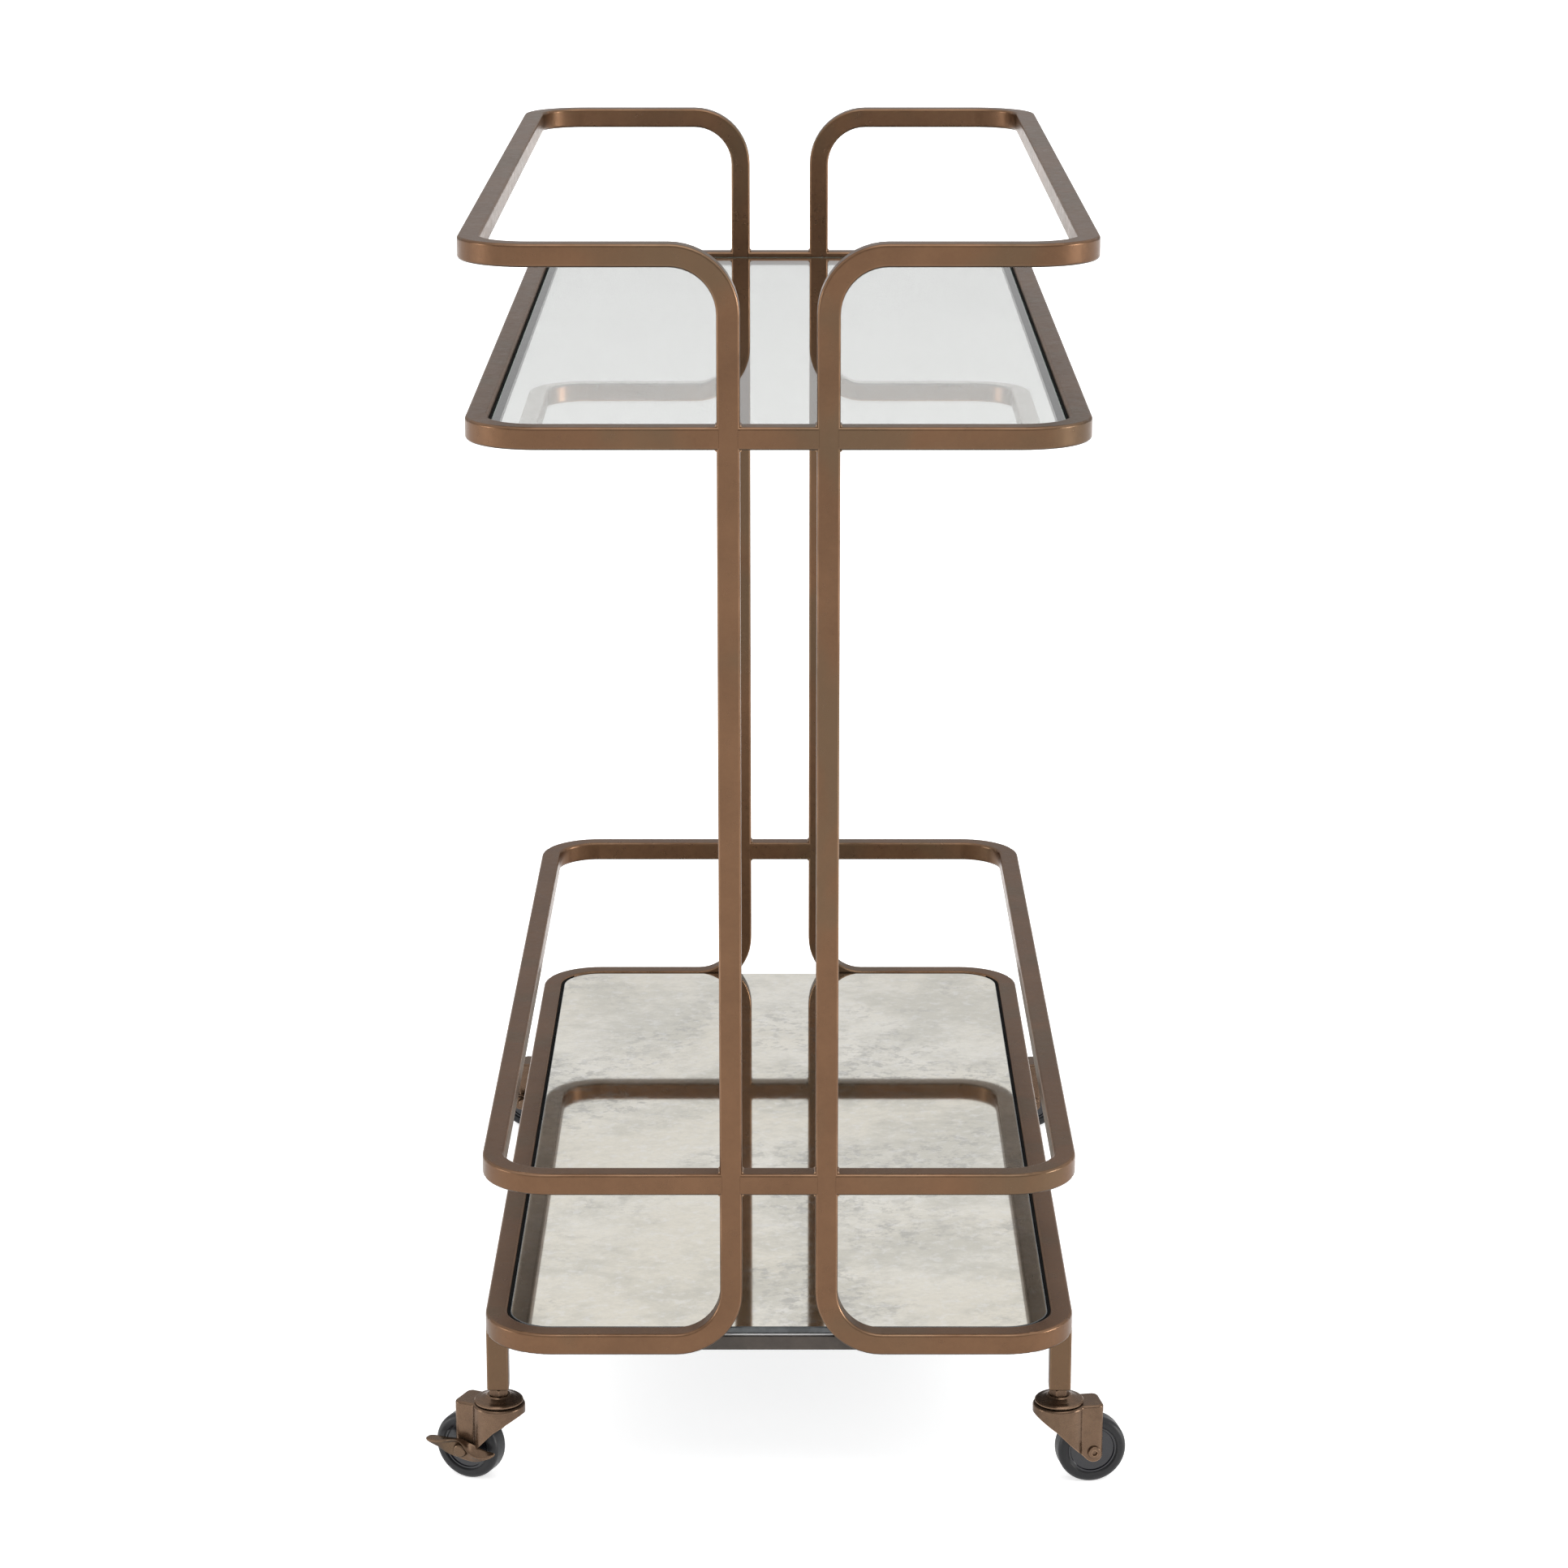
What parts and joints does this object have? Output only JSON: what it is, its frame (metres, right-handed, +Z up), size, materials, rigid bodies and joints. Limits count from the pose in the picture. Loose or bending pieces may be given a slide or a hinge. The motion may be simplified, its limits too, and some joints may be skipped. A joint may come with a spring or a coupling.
{
  "type": "bar cart",
  "caption": "Tall bar cart of bent square tube with a glass upper shelf, a mirrored lower shelf inside a guard ring, and swivel casters.",
  "frame": {"origin": "on the floor, under the middle of the cart", "axes": "+X to the right, +Y along the cart's length, away from the end with a braked wheel on its left, +Z up"},
  "size_m": [0.5137, 0.866, 0.9194],
  "materials": {
    "bronze": "satin antique bronze",
    "caster_bronze": "satin antique bronze",
    "weld": "rubbed through",
    "dark_steel": "satin",
    "steel": "machined",
    "glass": "clear, polished edge",
    "mirror": "antiqued mirror",
    "black_strip": "matt",
    "pad": "clear bumper",
    "backing": "matt painted back of the mirror",
    "tyre": "matt",
    "hub": "matt"
  },
  "bodies": {
    "frame": {"weld_beads": "weld", "left_top_rail": "bronze", "left_bottom_rail": "bronze", "left_top_ring": "bronze", "left_guard_ring": "bronze", "front_left_post": "bronze", "front_left_leg": "bronze", "rear_left_post": "bronze", "rear_left_leg": "bronze", "right_top_rail": "bronze", "right_bottom_rail": "bronze", "right_top_ring": "bronze", "right_guard_ring": "bronze", "front_right_post": "bronze", "front_right_leg": "bronze", "rear_right_post": "bronze", "rear_right_leg": "bronze", "front_top_bar": "bronze", "front_guard_bar": "bronze", "rear_top_bar": "bronze", "rear_guard_bar": "bronze", "glass_shelf": "glass", "glass_ledges": "dark_steel", "mirror_ledges": "dark_steel", "mirror_front_bar": "dark_steel", "mirror_middle_bar": "dark_steel", "mirror_rear_bar": "dark_steel", "glass_pads": "pad", "mirror_pads": "pad", "glass_edge_trims": "black_strip", "mirror_edge_trims": "black_strip", "mirror_shelf": "mirror", "mirror_backing": "backing", "leg_inserts": "steel", "caster_stems": "steel", "swivel_balls": "steel", "stem_nuts": "caster_bronze", "race_caps": "caster_bronze"},
    "front_left_swivel": {"front_left_fork": "caster_bronze", "front_left_axle": "caster_bronze"},
    "front_left_wheel": {"front_left_tyre": "tyre", "front_left_hub": "hub"},
    "front_left_brake": {"front_left_brake_lever": "caster_bronze"},
    "front_right_swivel": {"front_right_fork": "caster_bronze", "front_right_axle": "caster_bronze"},
    "front_right_wheel": {"front_right_tyre": "tyre", "front_right_hub": "hub"},
    "rear_left_swivel": {"rear_left_fork": "caster_bronze", "rear_left_axle": "caster_bronze"},
    "rear_left_wheel": {"rear_left_tyre": "tyre", "rear_left_hub": "hub"},
    "rear_left_brake": {"rear_left_brake_lever": "caster_bronze"},
    "rear_right_swivel": {"rear_right_fork": "caster_bronze", "rear_right_axle": "caster_bronze"},
    "rear_right_wheel": {"rear_right_tyre": "tyre", "rear_right_hub": "hub"}
  },
  "joints": [
    {"name": "front_left_swivel_turn", "type": "hinge", "parent": "frame", "child": "front_left_swivel", "pos_m": [-0.20555, -0.38, 0.0622], "axis": [0, 0, 1], "continuous": true},
    {"name": "front_left_wheel_spin", "type": "hinge", "parent": "front_left_swivel", "child": "front_left_wheel", "pos_m": [-0.2273, -0.36986, 0.0255], "axis": [-0.4226, -0.9063, 0], "continuous": true},
    {"name": "front_left_brake_press", "type": "hinge", "parent": "front_left_swivel", "child": "front_left_brake", "pos_m": [-0.2273, -0.36986, 0.0255], "axis": [-0.4226, -0.9063, 0], "range_deg": [0, 12]},
    {"name": "front_right_swivel_turn", "type": "hinge", "parent": "frame", "child": "front_right_swivel", "pos_m": [0.20555, -0.38, 0.0622], "axis": [0, 0, 1], "continuous": true},
    {"name": "front_right_wheel_spin", "type": "hinge", "parent": "front_right_swivel", "child": "front_right_wheel", "pos_m": [0.22919, -0.37583, 0.0255], "axis": [-0.1736, 0.9848, 0], "continuous": true},
    {"name": "rear_left_swivel_turn", "type": "hinge", "parent": "frame", "child": "rear_left_swivel", "pos_m": [-0.20555, 0.38, 0.0622], "axis": [0, 0, 1], "continuous": true},
    {"name": "rear_left_wheel_spin", "type": "hinge", "parent": "rear_left_swivel", "child": "rear_left_wheel", "pos_m": [-0.22873, 0.38621, 0.0255], "axis": [-0.2588, -0.9659, 0], "continuous": true},
    {"name": "rear_left_brake_press", "type": "hinge", "parent": "rear_left_swivel", "child": "rear_left_brake", "pos_m": [-0.22873, 0.38621, 0.0255], "axis": [-0.2588, -0.9659, 0], "range_deg": [0, 12]},
    {"name": "rear_right_swivel_turn", "type": "hinge", "parent": "frame", "child": "rear_right_swivel", "pos_m": [0.20555, 0.38, 0.0622], "axis": [0, 0, 1], "continuous": true},
    {"name": "rear_right_wheel_spin", "type": "hinge", "parent": "rear_right_swivel", "child": "rear_right_wheel", "pos_m": [0.22903, 0.38499, 0.0255], "axis": [-0.2079, 0.9781, 0], "continuous": true}
  ]
}
